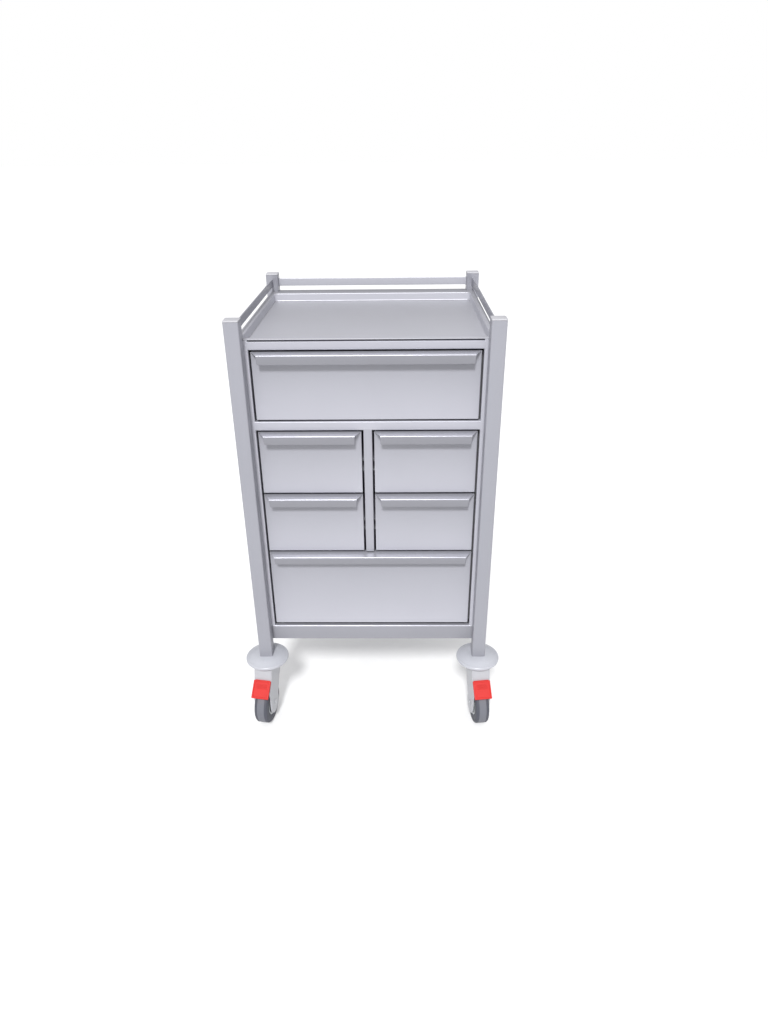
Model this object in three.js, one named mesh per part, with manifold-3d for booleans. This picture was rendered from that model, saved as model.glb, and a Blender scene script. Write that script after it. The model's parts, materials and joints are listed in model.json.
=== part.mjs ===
// Instrument cart: a square-tube frame on four swivel casters, with a sunken top tray behind
// guard rails, and six drawers. Units are millimetres, +Z is up, the drawers face -Y, and the
// origin is on the floor under the middle of the cart.
import * as THREE from 'three';
import * as BufferGeometryUtils from 'three/addons/utils/BufferGeometryUtils.js';
import Module from 'manifold-3d';

const wasm = await Module();
wasm.setup();

// ---- driving dimensions ----------------------------------------------------------------
const HEIGHT = 955; // floor to the tops of the posts
const FRAME_WIDTH = 530; // across the outer faces of the posts
const FRAME_DEPTH = 540;
const POST = 30; // square tube
const TUBE_WALL = 1.5;
const SHEET = 1.5;
const GAP = 0.3; // between pieces that touch

const POST_X = (FRAME_WIDTH - POST) / 2; // post centres
const POST_Y = (FRAME_DEPTH - POST) / 2;
const POST_IN_X = POST_X - POST / 2; // inner faces of the posts
const POST_IN_Y = POST_Y - POST / 2;
const CAP = 3;

// the cabinet: its skin stands 12 mm inside the outer faces of the posts on three sides, and
// its front is level with the back faces of the front posts
const SKIN_INSET = 12;
const SKIN_X = FRAME_WIDTH / 2 - SKIN_INSET;
const SKIN_BACK = FRAME_DEPTH / 2 - SKIN_INSET;
const FRONT = -(POST_IN_Y - GAP);
const STILE_X = 228; // inner edge of the front stiles
const CABINET_BOTTOM = 199;

// heights of the front, from the top down
const TRAY_RIM = 913;
const TRAY_SINK = 19;
const TOP_RAIL = { top: 909, height: 17.5 };
const MIDDLE_RAIL_HEIGHT = 19;
const BOTTOM_RAIL_HEIGHT = 38;
const RAIL_DEPTH = 10;
const REVEAL = 4; // gap round a drawer front
const STACK_GAP = 5.5; // gap between two drawer fronts with no rail between them
const TOP_DRAWER = 138.5;
const SMALL_DRAWER = 137;
const BOTTOM_DRAWER = 191;
const DIVIDER = 18; // width of the post-like front edge of the partition

// the tray
const TRAY_SIDE_RIM = 11.5;
const TRAY_FRONT_RIM = 14;
const TRAY_BACK_RIM = 46;
const TRAY_CORNER = 8;

// guard rails: flat bars on the centre lines of the posts
const RAIL_BAR = { top: 942, height: 18, thickness: 3 };

// drawers
const HANDLE_REACH = 20; // how far the folded grip stands out of the drawer front
const HANDLE_DROP = 0.8;
const HANDLE_LIP = 19.5;
const HANDLE_END = { root: 1.5, tip: 13, shear: 0.15 };
const FRONT_RETURN = 13;
const BOX_X = 212; // outer side of a full-width drawer box
const BOX_LENGTH = 443;
const BOX_UNDER = 8; // box floor above the lower edge of the drawer front
const BOX_BELOW_TOP = 26; // box rim below the upper edge of the drawer front
const SLIDE = { height: 24, reach: 13, length: 440, railHeight: 20, clearance: 0.8 };
const SLIDE_Y = -222; // front end of the slides

// casters
const DISC = { radius: 50, height: 14, flat: 22, rise: 7, edge: 5 };
const DISC_BOTTOM = 156;
const DISC_TOP = DISC_BOTTOM + DISC.height;
const WHEEL = { radius: 50, width: 32, hub: 30, shoulder: 6 };
const TRAIL = 34;
const FORK = { width: 42, top: 152.3, guard: 26, cavity: 54, cavityWidth: 34.6 };
const BOLT = 6;
const AXLE = 4;
const PEDAL = { width: 41, length: 41, thickness: 4.5, slope: 44.6, pivot: [45.2, 119.9], barrel: 4 };
const CASTERS = [
  { name: 'front_left', x: -POST_X, y: -POST_Y, turn: -9, brake: true },
  { name: 'front_right', x: POST_X, y: -POST_Y, turn: 7, brake: true },
  { name: 'rear_left', x: -POST_X, y: POST_Y, turn: 186, brake: false },
  { name: 'rear_right', x: POST_X, y: POST_Y, turn: 176, brake: false },
];

// ---- materials -------------------------------------------------------------------------
const standard = (color, roughness, metalness) =>
  new THREE.MeshStandardMaterial({ color, roughness, metalness });
const MATERIALS = {
  frame: standard(0xbfc0c8, 0.35, 0.9),
  sheet: standard(0xc6c7d0, 0.38, 0.9),
  inner: standard(0xb2b4ba, 0.45, 0.9),
  cap: standard(0xc4c5c9, 0.5, 0),
  shell: standard(0xdcdde4, 0.3, 0),
  pedal: standard(0xf2554f, 0.35, 0),
  tyre: standard(0x63666f, 0.7, 0),
  hub: standard(0xd3d6db, 0.4, 0),
  zinc: standard(0xa9abae, 0.35, 0.9),
};

// ---- solids ----------------------------------------------------------------------------
const cart = new THREE.Group();

function solidFrom(geometry) {
  const bare = geometry.clone();
  bare.deleteAttribute('normal');
  bare.deleteAttribute('uv');
  const merged = BufferGeometryUtils.mergeVertices(bare, 1e-4);
  return new wasm.Manifold(new wasm.Mesh({
    numProp: 3,
    vertProperties: Float32Array.from(merged.attributes.position.array),
    triVerts: Uint32Array.from(merged.index.array),
  }));
}

function geometryFrom(solid) {
  const mesh = solid.getMesh();
  const geometry = new THREE.BufferGeometry();
  geometry.setAttribute('position', new THREE.BufferAttribute(mesh.vertProperties, 3));
  geometry.setIndex(new THREE.BufferAttribute(mesh.triVerts, 1));
  geometry.computeVertexNormals();
  return geometry;
}

function join(first, ...others) {
  return others.reduce((sum, geometry) => sum.add(solidFrom(geometry)), solidFrom(first));
}

function cut(solid, ...cutters) {
  return cutters.reduce((rest, geometry) => rest.subtract(solidFrom(geometry)), solid);
}

function addPiece(name, shape, material, parent = cart) {
  const geometry = shape.isBufferGeometry ? shape : geometryFrom(shape);
  const mesh = new THREE.Mesh(geometry, material);
  mesh.name = name;
  parent.add(mesh);
  return mesh;
}

function box(x0, x1, y0, y1, z0, z1) {
  const geometry = new THREE.BoxGeometry(x1 - x0, y1 - y0, z1 - z0);
  return geometry.translate((x0 + x1) / 2, (y0 + y1) / 2, (z0 + z1) / 2);
}

function polygon(points) {
  return new THREE.Shape(points.map(([a, b]) => new THREE.Vector2(a, b)));
}

function roundedRectangle(x0, x1, y0, y1, radius, Kind = THREE.Shape) {
  const outline = new Kind();
  outline.moveTo(x0 + radius, y0);
  outline.lineTo(x1 - radius, y0);
  outline.absarc(x1 - radius, y0 + radius, radius, -Math.PI / 2, 0);
  outline.lineTo(x1, y1 - radius);
  outline.absarc(x1 - radius, y1 - radius, radius, 0, Math.PI / 2);
  outline.lineTo(x0 + radius, y1);
  outline.absarc(x0 + radius, y1 - radius, radius, Math.PI / 2, Math.PI);
  outline.lineTo(x0, y0 + radius);
  outline.absarc(x0 + radius, y0 + radius, radius, Math.PI, 1.5 * Math.PI);
  return outline;
}

// a flat outline in x and y, standing from z0 to z1
function upright(shape, z0, z1, curveSegments = 3) {
  const options = { depth: z1 - z0, bevelEnabled: false, curveSegments };
  return new THREE.ExtrudeGeometry(shape, options).translate(0, 0, z0);
}

// an outline in y and z, running from x0 to x1
function crosswise(shape, x0, x1, curveSegments = 6) {
  const options = { depth: x1 - x0, bevelEnabled: false, curveSegments };
  const geometry = new THREE.ExtrudeGeometry(shape, options);
  const axes = new THREE.Matrix4().makeBasis(
    new THREE.Vector3(0, 1, 0),
    new THREE.Vector3(0, 0, 1),
    new THREE.Vector3(1, 0, 0),
  );
  return geometry.applyMatrix4(axes).translate(x0, 0, 0);
}

// a profile of [radius, height] points turned about the z axis
function turned(profile, segments) {
  const points = profile.map(([radius, z]) => new THREE.Vector2(radius, z));
  return new THREE.LatheGeometry(points, segments).rotateX(Math.PI / 2);
}

// a profile of [radius, x] points turned about an axle along x, in caster coordinates
function onAxle(profile, segments) {
  return turned(profile, segments).rotateY(Math.PI / 2).translate(0, -TRAIL, WHEEL.radius);
}

function arc(cx, cy, radius, from, to, steps) {
  const points = [];
  for (let i = 0; i <= steps; i += 1) {
    const angle = THREE.MathUtils.degToRad(from + ((to - from) * i) / steps);
    points.push([cx + radius * Math.cos(angle), cy + radius * Math.sin(angle)]);
  }
  return points;
}

// ---- frame: posts, caps, bumper discs, caster stems --------------------------------------
function post(x, y) {
  const half = POST / 2;
  const bore = half - TUBE_WALL;
  const outline = roundedRectangle(x - half, x + half, y - half, y + half, 3);
  outline.holes.push(roundedRectangle(x - bore, x + bore, y - bore, y + bore, 1.5, THREE.Path));
  return upright(outline, DISC_TOP + GAP, HEIGHT - CAP - GAP);
}

function postCap(x, y) {
  const half = POST / 2;
  const plug = half - TUBE_WALL - GAP;
  const bevel = 0.8;
  const plate = new THREE.ExtrudeGeometry(roundedRectangle(-half, half, -half, half, 3), {
    depth: CAP - 2 * bevel,
    bevelThickness: bevel,
    bevelSize: bevel,
    bevelOffset: -bevel,
    bevelSegments: 1,
    curveSegments: 2,
  });
  plate.translate(x, y, HEIGHT - CAP + bevel);
  const insert = roundedRectangle(x - plug, x + plug, y - plug, y + plug, 1.4);
  return join(plate, upright(insert, HEIGHT - CAP - 14, HEIGHT - CAP + 1, 2));
}

function bumperDisc(x, y) {
  const domeEnd = DISC.radius - DISC.edge;
  const shoulder = DISC_TOP - DISC.rise;
  const dome = [0, 0.5, 1].map((t) => {
    const radius = DISC.flat + (domeEnd - DISC.flat) * t;
    return [radius, DISC_TOP - DISC.rise * t * t];
  });
  const rim = arc(domeEnd, shoulder - DISC.edge, DISC.edge, 90, 0, 3).slice(1);
  const bore = BOLT + GAP;
  const profile = [[bore, DISC_BOTTOM], [bore, DISC_TOP], ...dome, ...rim];
  profile.push([DISC.radius - 2, DISC_BOTTOM], [bore, DISC_BOTTOM]);
  return turned(profile.reverse(), 28).translate(x, y, 0);
}

function casterStem(x, y) {
  const plug = POST / 2 - TUBE_WALL - GAP;
  const profile = [
    [0, 134], [10, 134], [10, 139.7], [BOLT, 139.7], [BOLT, FORK.top + GAP],
    [20, FORK.top + GAP], [20, DISC_BOTTOM - GAP], [BOLT, DISC_BOTTOM - GAP],
    [BOLT, DISC_TOP + GAP], [plug, DISC_TOP + GAP], [plug, 204], [plug - 1.5, 206], [0, 206],
  ];
  return turned(profile, 12).translate(x, y, 0);
}

for (const { name, x, y } of CASTERS) {
  addPiece(`post_${name}`, post(x, y), MATERIALS.frame);
  addPiece(`post_cap_${name}`, postCap(x, y), MATERIALS.cap);
  addPiece(`bumper_disc_${name}`, bumperDisc(x, y), MATERIALS.shell);
  addPiece(`caster_stem_${name}`, casterStem(x, y), MATERIALS.zinc);
}

// ---- guard rails -------------------------------------------------------------------------
function guardBar(length) {
  const half = RAIL_BAR.thickness / 2;
  return box(-half, half, -length / 2, length / 2, RAIL_BAR.top - RAIL_BAR.height, RAIL_BAR.top);
}

for (const [name, side] of [['left', -1], ['right', 1]]) {
  const bar = guardBar(2 * (POST_IN_Y - GAP)).translate(side * POST_X, 0, 0);
  addPiece(`guard_rail_${name}`, bar, MATERIALS.frame);
}
const rearBar = guardBar(2 * (POST_IN_X - GAP)).rotateZ(Math.PI / 2).translate(0, POST_Y, 0);
addPiece('guard_rail_rear', rearBar, MATERIALS.frame);

// ---- top tray ------------------------------------------------------------------------------
function topTray() {
  const x = SKIN_X - TRAY_SIDE_RIM;
  const y0 = FRONT + TRAY_FRONT_RIM;
  const y1 = SKIN_BACK - TRAY_BACK_RIM;
  const floor = TRAY_RIM - TRAY_SINK;
  const rim = box(-SKIN_X, SKIN_X, FRONT, -FRONT, TRAY_RIM - SHEET, TRAY_RIM);
  const tongueX = POST_IN_X - GAP;
  const tongue = box(-tongueX, tongueX, -FRONT - 1, SKIN_BACK, TRAY_RIM - SHEET, TRAY_RIM);
  const well = roundedRectangle(-x - SHEET, x + SHEET, y0 - SHEET, y1 + SHEET, TRAY_CORNER + SHEET);
  const hollow = roundedRectangle(-x, x, y0, y1, TRAY_CORNER);
  const body = join(rim, tongue, upright(well, floor - SHEET, TRAY_RIM - 0.5, 4));
  return cut(body, upright(hollow, floor, TRAY_RIM + 1, 4));
}
addPiece('top_tray', topTray(), MATERIALS.sheet);

// ---- cabinet shell ---------------------------------------------------------------------------
const CABINET_TOP = TRAY_RIM - SHEET - GAP;
const BOTTOM_RAIL_TOP = CABINET_BOTTOM + BOTTOM_RAIL_HEIGHT;

// a folded panel: front stile with a return lip, side wall, and a narrow rear flange
function sidePanel(side) {
  const lip = 12;
  const rearFlange = POST_IN_X + 1.5;
  const outline = [
    [SKIN_X, FRONT], [SKIN_X, -FRONT], [rearFlange, -FRONT], [rearFlange, -FRONT - SHEET],
    [SKIN_X - SHEET, -FRONT - SHEET], [SKIN_X - SHEET, FRONT + SHEET],
    [STILE_X + SHEET, FRONT + SHEET], [STILE_X + SHEET, FRONT + lip],
    [STILE_X, FRONT + lip], [STILE_X, FRONT],
  ].map(([x, y]) => [side * x, y]);
  const panel = solidFrom(upright(polygon(outline), CABINET_BOTTOM, CABINET_TOP));
  // the bottom rail runs across behind the posts, so the stile stops above it
  const edges = [side * (STILE_X - 1), side * (SKIN_X - SHEET)].sort((a, b) => a - b);
  const notchTop = BOTTOM_RAIL_TOP + GAP;
  return cut(panel, box(...edges, FRONT - 1, FRONT + lip + 1, CABINET_BOTTOM - 1, notchTop));
}

function backPanel() {
  const x = POST_IN_X - GAP;
  const reach = SKIN_BACK - (-FRONT + GAP);
  const outline = [
    [-x, SKIN_BACK - reach], [-x + SHEET, SKIN_BACK - reach], [-x + SHEET, SKIN_BACK - SHEET],
    [x - SHEET, SKIN_BACK - SHEET], [x - SHEET, SKIN_BACK - reach], [x, SKIN_BACK - reach],
    [x, SKIN_BACK], [-x, SKIN_BACK],
  ];
  return upright(polygon(outline), CABINET_BOTTOM, CABINET_TOP);
}

function bottomPanel() {
  const x = SKIN_X - SHEET - GAP;
  const y0 = FRONT + RAIL_DEPTH + GAP;
  const y1 = -FRONT - SHEET - GAP;
  const z = CABINET_BOTTOM + 2;
  const flange = 16;
  const floor = box(-x, x, y0, y1, z, z + SHEET);
  const left = box(-x, -x + SHEET, y0, y1, z, z + flange);
  const right = box(x - SHEET, x, y0, y1, z, z + flange);
  const tongueX = POST_IN_X - GAP - SHEET - GAP;
  const tongue = box(-tongueX, tongueX, y1 - 1, SKIN_BACK - SHEET - GAP, z, z + SHEET);
  return join(floor, left, right, tongue);
}

// a channel folded from sheet, open to the back, with small bends along its front edges
function frontRail(halfWidth, z0, z1) {
  const bend = 2;
  const back = FRONT + RAIL_DEPTH;
  const lower = arc(FRONT + bend, z0 + bend, bend, 270, 180, 2);
  const upper = arc(FRONT + bend, z1 - bend, bend, 180, 90, 2);
  const inner = FRONT + SHEET;
  const outline = [
    [back, z0], ...lower, ...upper, [back, z1],
    [back, z1 - SHEET], [inner, z1 - SHEET], [inner, z0 + SHEET], [back, z0 + SHEET],
  ].reverse();
  return crosswise(polygon(outline), -halfWidth, halfWidth);
}

addPiece('side_panel_left', sidePanel(-1), MATERIALS.sheet);
addPiece('side_panel_right', sidePanel(1), MATERIALS.sheet);
addPiece('back_panel', backPanel(), MATERIALS.sheet);
addPiece('bottom_panel', bottomPanel(), MATERIALS.sheet);

// ---- the stack of rails and drawer fronts, worked out from the top down -----------------------
const topRailBottom = TOP_RAIL.top - TOP_RAIL.height;
const topDrawer = { top: topRailBottom - REVEAL, height: TOP_DRAWER };
const middleRailTop = topDrawer.top - TOP_DRAWER - REVEAL;
const middleRailBottom = middleRailTop - MIDDLE_RAIL_HEIGHT;
const upperDrawer = { top: middleRailBottom - REVEAL, height: SMALL_DRAWER };
const lowerDrawer = { top: upperDrawer.top - SMALL_DRAWER - STACK_GAP, height: SMALL_DRAWER };
const bottomDrawer = { top: lowerDrawer.top - SMALL_DRAWER - STACK_GAP, height: BOTTOM_DRAWER };
const partitionBottom = lowerDrawer.top - SMALL_DRAWER - 2;

addPiece('top_rail', frontRail(STILE_X - GAP, topRailBottom, TOP_RAIL.top), MATERIALS.sheet);
addPiece('middle_rail', frontRail(STILE_X - GAP, middleRailBottom, middleRailTop), MATERIALS.sheet);
const bottomRailX = SKIN_X - SHEET - GAP;
const bottomRail = frontRail(bottomRailX, CABINET_BOTTOM, BOTTOM_RAIL_TOP);
addPiece('bottom_rail', bottomRail, MATERIALS.sheet);

// ---- slides: channels on the liners and on the partition, rails on the drawer boxes -------------
const slideHeight = ({ top, height }) => top - height + height * 0.42;

// two lips that stand out of a wall at x, towards the drawer, and hold a drawer's rail between them
function channel(wallX, towards, z) {
  const reach = [wallX, wallX + towards * SLIDE.reach].sort((a, b) => a - b);
  const y1 = SLIDE_Y + SLIDE.length;
  const half = SLIDE.height / 2;
  return [
    box(...reach, SLIDE_Y, y1, z + half, z + half + SHEET),
    box(...reach, SLIDE_Y, y1, z - half - SHEET, z - half),
  ];
}

// a liner pan inside each side panel, which carries the outer slide of every drawer
function slideLiner(side) {
  const x0 = BOX_X + SLIDE.reach + SLIDE.clearance;
  const outer = SKIN_X - SHEET - GAP;
  const y0 = SLIDE_Y;
  const y1 = SLIDE_Y + SLIDE.length;
  const z0 = BOTTOM_RAIL_TOP + 6;
  const z1 = TRAY_RIM - TRAY_SINK - SHEET - 3;
  const outline = [
    [x0, y0], [outer, y0], [outer, y0 + SHEET], [x0 + SHEET, y0 + SHEET],
    [x0 + SHEET, y1 - SHEET], [outer, y1 - SHEET], [outer, y1], [x0, y1],
  ].map(([x, y]) => [side * x, y]);
  const stack = [topDrawer, upperDrawer, lowerDrawer, bottomDrawer];
  const lips = stack.flatMap((drawer) => channel(side * (x0 + 0.5), -side, slideHeight(drawer)));
  return join(upright(polygon(outline), z0, z1), ...lips);
}

// a sheet folded into a long U: its front edge shows between the small drawers
function centrePartition() {
  const half = DIVIDER / 2;
  const rear = SKIN_BACK - SHEET - GAP;
  const outline = [
    [-half, FRONT], [half, FRONT], [half, rear], [half - SHEET, rear],
    [half - SHEET, FRONT + SHEET], [-half + SHEET, FRONT + SHEET],
    [-half + SHEET, rear], [-half, rear],
  ];
  const web = upright(polygon(outline), partitionBottom, middleRailBottom - GAP);
  const lips = [upperDrawer, lowerDrawer].flatMap((drawer) => [
    ...channel(-half + 0.5, -1, slideHeight(drawer)),
    ...channel(half - 0.5, 1, slideHeight(drawer)),
  ]);
  return join(web, ...lips);
}

addPiece('centre_partition', centrePartition(), MATERIALS.inner);
addPiece('slide_liner_left', slideLiner(-1), MATERIALS.inner);
addPiece('slide_liner_right', slideLiner(1), MATERIALS.inner);

// ---- drawers --------------------------------------------------------------------------------
// the front is one folded sheet: returns round three edges, and its upper edge folded out and
// down into a grip whose ends are cut at a slant
function drawerFront(x0, x1, { top, height }) {
  const z0 = top - height;
  const tip = FRONT - HANDLE_REACH;
  const tipTop = top - HANDLE_DROP;
  const profile = [
    [FRONT, z0], [FRONT, top - SHEET], [tip + SHEET, tipTop - SHEET],
    [tip + SHEET, tipTop - HANDLE_LIP], [tip, tipTop - HANDLE_LIP], [tip, tipTop - 0.6],
    [tip + 0.8, tipTop], [FRONT, top], [FRONT + SHEET, top],
    [FRONT + SHEET, z0 + SHEET], [FRONT + FRONT_RETURN, z0 + SHEET], [FRONT + FRONT_RETURN, z0],
  ].reverse();
  const back = FRONT + FRONT_RETURN;
  const left = box(x0, x0 + SHEET, FRONT, back, z0, top);
  const right = box(x1 - SHEET, x1, FRONT, back, z0, top);
  const sheet = join(crosswise(polygon(profile), x0, x1), left, right);
  return cut(sheet, gripEnd(x0, 1, top), gripEnd(x1, -1, top));
}

// the wedge cut off one end of a grip; it leans in towards the lower edge of the lip
function gripEnd(x, inward, top) {
  const root = x + inward * HANDLE_END.root;
  const tip = x + inward * HANDLE_END.tip;
  const wedge = polygon([
    [x - inward * 5, FRONT], [root, FRONT], [tip, FRONT - HANDLE_REACH - 1],
    [x - inward * 5, FRONT - HANDLE_REACH - 1],
  ]);
  const lean = new THREE.Matrix4().makeShear(0, 0, 0, 0, -inward * HANDLE_END.shear, 0);
  return upright(wedge, -HANDLE_LIP - 4, 1).applyMatrix4(lean).translate(0, 0, top);
}

function drawerBox(x0, x1, { top, height }) {
  const y0 = FRONT + SHEET + GAP;
  const y1 = y0 + BOX_LENGTH;
  const z0 = top - height + BOX_UNDER;
  const z1 = top - BOX_BELOW_TOP;
  const z = slideHeight({ top, height });
  const half = SLIDE.railHeight / 2;
  const railEnd = SLIDE_Y + SLIDE.length;
  const rails = [[x0 - SLIDE.reach, x0 + 0.5], [x1 - 0.5, x1 + SLIDE.reach]].map(
    ([a, b]) => box(a, b, SLIDE_Y, railEnd, z - half, z + half),
  );
  const hollow = box(x0 + SHEET, x1 - SHEET, y0 + SHEET, y1 - SHEET, z0 + SHEET, z1 + 1);
  return cut(join(box(x0, x1, y0, y1, z0, z1), ...rails), hollow);
}

const FRONT_X = STILE_X - REVEAL;
const INNER_FRONT_X = DIVIDER / 2 + REVEAL;
const INNER_BOX_X = DIVIDER / 2 + SLIDE.reach + SLIDE.clearance + 0.5;
const DRAWERS = [
  { name: 'top', front: [-FRONT_X, FRONT_X], box: [-BOX_X, BOX_X], at: topDrawer },
  { name: 'bottom', front: [-FRONT_X, FRONT_X], box: [-BOX_X, BOX_X], at: bottomDrawer },
];
for (const [row, at] of [['upper', upperDrawer], ['lower', lowerDrawer]]) {
  const fronts = { left: [-FRONT_X, -INNER_FRONT_X], right: [INNER_FRONT_X, FRONT_X] };
  const boxes = { left: [-BOX_X, -INNER_BOX_X], right: [INNER_BOX_X, BOX_X] };
  for (const side of ['left', 'right']) {
    DRAWERS.push({ name: `${row}_${side}`, front: fronts[side], box: boxes[side], at });
  }
}
for (const { name, front, box: sides, at } of DRAWERS) {
  addPiece(`drawer_front_${name}`, drawerFront(...front, at), MATERIALS.sheet);
  addPiece(`drawer_box_${name}`, drawerBox(...sides, at), MATERIALS.inner);
}

// ---- casters: built facing -Y about the kingpin axis, then turned into place ----------------------
const seatAngle = PEDAL.slope + 9; // the housing lies under the pedal when it is pressed

// y runs backwards from the kingpin, so a point u ahead of it lies at y = -u
const ahead = (points) => points.map(([u, z]) => [-u, z]);

function casterFork() {
  const [pivotU, pivotZ] = PEDAL.pivot;
  const seat = THREE.MathUtils.degToRad(seatAngle);
  const along = (s) => [
    pivotU + 1.5 * Math.sin(seat) + s * Math.cos(seat),
    pivotZ + 1.5 * Math.cos(seat) - s * Math.sin(seat),
  ];
  const guard = arc(TRAIL, WHEEL.radius, FORK.guard, 12, -192, 18);
  const outline = ahead([
    [-30, FORK.top], [38, FORK.top], [pivotU - 1, pivotZ + 7.5], along(0), along(26), ...guard,
    [-14, 100], [-30, 118],
  ]);
  const half = FORK.width / 2;
  const inner = FORK.cavityWidth / 2;
  const body = solidFrom(crosswise(polygon(outline), -half, half));
  const cavity = onAxle([[0, -inner], [FORK.cavity, -inner], [FORK.cavity, inner], [0, inner]], 40);
  const axleBore = onAxle([[0, -30], [AXLE + GAP, -30], [AXLE + GAP, 30], [0, 30]], 12);
  const boltBore = turned([[0, 120], [BOLT + GAP, 120], [BOLT + GAP, 160], [0, 160]], 16);
  const nutPocket = turned([[0, 80], [12, 80], [12, 140], [0, 140]], 16);
  const barrel = PEDAL.barrel + 0.5;
  const pocket = turned([[0, -18], [barrel, -18], [barrel, 18], [0, 18]], 16)
    .rotateY(Math.PI / 2)
    .translate(0, -pivotU, pivotZ);
  return cut(body, cavity, axleBore, boltBore, nutPocket, pocket);
}

function wheelHub() {
  const half = WHEEL.width / 2;
  const bore = AXLE + GAP;
  return onAxle([
    [bore, -half], [12, -half], [13, -6], [WHEEL.hub - 6, -6], [WHEEL.hub - 4, 1 - half],
    [WHEEL.hub, 1 - half], [WHEEL.hub, half - 1], [WHEEL.hub - 4, half - 1],
    [WHEEL.hub - 6, 6], [13, 6], [12, half], [bore, half], [bore, -half],
  ], 20);
}

function tyre() {
  const half = WHEEL.width / 2;
  const bore = WHEEL.hub + GAP;
  const { radius, shoulder } = WHEEL;
  const profile = [
    [bore, 1 - half], [radius - shoulder, -half],
    ...arc(radius - shoulder, shoulder - half, shoulder, -90, 0, 2).slice(1),
    ...arc(radius - shoulder, half - shoulder, shoulder, 0, 90, 2),
    [bore, half - 1], [bore, 1 - half],
  ];
  return onAxle(profile, 32);
}

function axle() {
  const leg = FORK.width / 2 + GAP;
  return onAxle([
    [0, -leg - 2.4], [6, -leg - 2.4], [7, -leg - 1.4], [7, -leg], [AXLE, -leg],
    [AXLE, leg], [7, leg], [7, leg + 1.4], [6, leg + 2.4], [0, leg + 2.4],
  ], 12);
}

function brakePedal() {
  const slope = THREE.MathUtils.degToRad(PEDAL.slope);
  const [pivotU, pivotZ] = PEDAL.pivot;
  // s runs down the pedal from the pivot, h stands out of it
  const at = (s, h) => [
    pivotU + s * Math.cos(slope) + h * Math.sin(slope),
    pivotZ - s * Math.sin(slope) + h * Math.cos(slope),
  ];
  const under = 2.6;
  const over = under + PEDAL.thickness;
  const plate = ahead([
    at(-1.5, under), at(PEDAL.length - 1, under), at(PEDAL.length, under + 1),
    at(PEDAL.length, over - 1.5), at(PEDAL.length - 1.5, over), at(0, over), at(-1.5, over - 1.2),
  ]);
  const half = PEDAL.width / 2;
  const barrel = turned([
    [0, -17], [PEDAL.barrel, -17], [PEDAL.barrel, 17], [0, 17],
  ], 16).rotateY(Math.PI / 2).translate(0, -pivotU, pivotZ);
  const ridges = [7, 11, 15].map((s) => {
    const ridge = ahead([at(s, over - 0.3), at(s + 1.6, over - 0.3), at(s + 1.3, over + 0.6),
      at(s + 0.3, over + 0.6)]);
    return crosswise(polygon(ridge), -half + 6, half - 6);
  });
  return join(crosswise(polygon(plate), -half, half), barrel, ...ridges);
}

for (const { name, x, y, turn, brake } of CASTERS) {
  const caster = new THREE.Group();
  caster.position.set(x, y, 0);
  caster.rotation.z = THREE.MathUtils.degToRad(turn);
  addPiece(`caster_fork_${name}`, casterFork(), MATERIALS.shell, caster);
  addPiece(`wheel_hub_${name}`, wheelHub(), MATERIALS.hub, caster);
  addPiece(`tyre_${name}`, tyre(), MATERIALS.tyre, caster);
  addPiece(`axle_${name}`, axle(), MATERIALS.zinc, caster);
  if (brake) {
    addPiece(`brake_pedal_${name}`, brakePedal(), MATERIALS.pedal, caster);
  }
  cart.add(caster);
}

export default cart;
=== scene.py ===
"""Instrument cart in satin steel: the looks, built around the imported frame.

Units are metres, +Z is up and the drawers face -Y. Sheet, bend and moulding sizes are named
here, and every place comes from the frame.
"""
import json
import math

import bmesh
import bpy
from mathutils import Matrix, Vector


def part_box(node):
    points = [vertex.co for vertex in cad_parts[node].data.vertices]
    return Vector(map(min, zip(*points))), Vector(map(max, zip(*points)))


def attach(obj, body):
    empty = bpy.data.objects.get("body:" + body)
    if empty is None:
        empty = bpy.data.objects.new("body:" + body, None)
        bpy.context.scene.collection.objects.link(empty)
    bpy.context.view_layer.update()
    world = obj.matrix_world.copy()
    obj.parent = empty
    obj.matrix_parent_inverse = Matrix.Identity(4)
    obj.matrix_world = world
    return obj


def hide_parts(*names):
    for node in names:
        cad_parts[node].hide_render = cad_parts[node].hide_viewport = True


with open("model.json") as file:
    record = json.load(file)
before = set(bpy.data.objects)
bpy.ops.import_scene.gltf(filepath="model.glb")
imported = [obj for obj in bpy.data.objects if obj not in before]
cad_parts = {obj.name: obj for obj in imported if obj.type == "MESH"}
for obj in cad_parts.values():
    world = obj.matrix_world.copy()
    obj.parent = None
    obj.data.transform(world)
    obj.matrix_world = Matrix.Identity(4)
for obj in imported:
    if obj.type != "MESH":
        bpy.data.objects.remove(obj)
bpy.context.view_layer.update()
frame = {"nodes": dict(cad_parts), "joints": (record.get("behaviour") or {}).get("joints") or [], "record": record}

MM = 0.001
CORNERS = ("front_left", "front_right", "rear_left", "rear_right")
DRAWERS = ("top", "upper_left", "upper_right", "lower_left", "lower_right", "bottom")
BODY_OF = {
    node: body
    for body, nodes in frame["record"]["behaviour"]["bodies"].items()
    for node in nodes
}
JOINTS = {joint["name"]: joint for joint in frame["joints"]}

# sheet metal
SHEET = 1.5 * MM
BEND = 2.2 * MM  # outer radius of a fold
CREASE = 0.7 * MM  # inner radius of a fold
RAW = 0.3 * MM  # rounding of a cut edge
RIM = 0.15 * MM  # bevel round the ends of an extrusion
FIT = 0.3 * MM  # gap between neighbours

# where shading breaks
HARD_EDGE = math.radians(38)
BEVELLED_EDGE = math.radians(40)

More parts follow.
